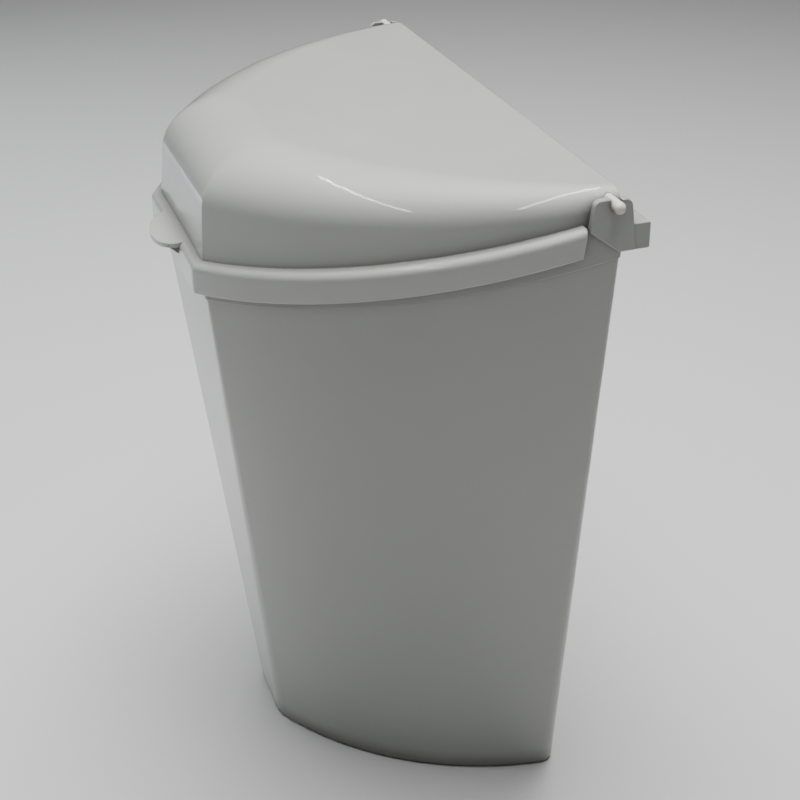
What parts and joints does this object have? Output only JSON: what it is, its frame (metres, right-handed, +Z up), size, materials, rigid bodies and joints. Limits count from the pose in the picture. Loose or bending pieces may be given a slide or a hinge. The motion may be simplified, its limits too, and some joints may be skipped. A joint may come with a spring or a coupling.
{
  "type": "wall-hung waste bin",
  "caption": "Wall-hung waste bin: tapered half-round tub, domed lid on a sloping rim that tilts up on two pins, hook bracket behind.",
  "frame": {"origin": "middle of the four bracket screws, on the wall plane (the back face of the bracket)", "axes": "+Z up, +Y into the wall, the bin's front towards -Y, +X to the right as seen from the front"},
  "size_m": [0.2944, 0.2008, 0.3303],
  "materials": {
    "tub_plastic": "smooth moulded light grey plastic, semi-gloss",
    "lid_plastic": "smooth moulded light grey plastic, glossy",
    "pin_plastic": "off-white moulded plastic",
    "bracket_plastic": "satin moulded grey plastic",
    "screw_steel": "zinc-plated steel"
  },
  "bodies": {
    "wall": {"wall_bracket": "bracket_plastic", "bracket_screws": "screw_steel"},
    "bin": {"bin_body": "tub_plastic"},
    "lid": {"lid": "lid_plastic", "hinge_pin_left": "pin_plastic", "hinge_pin_right": "pin_plastic"}
  },
  "joints": [
    {"name": "bin_lift", "type": "slide", "parent": "wall", "child": "bin", "axis": [0, 0, 1], "range_m": [0, 0.02]},
    {"name": "lid_hinge", "type": "hinge", "parent": "bin", "child": "lid", "pos_m": [0, -0.0201, 0.0714], "axis": [-1, 0, 0], "range_deg": [0, 93]}
  ]
}
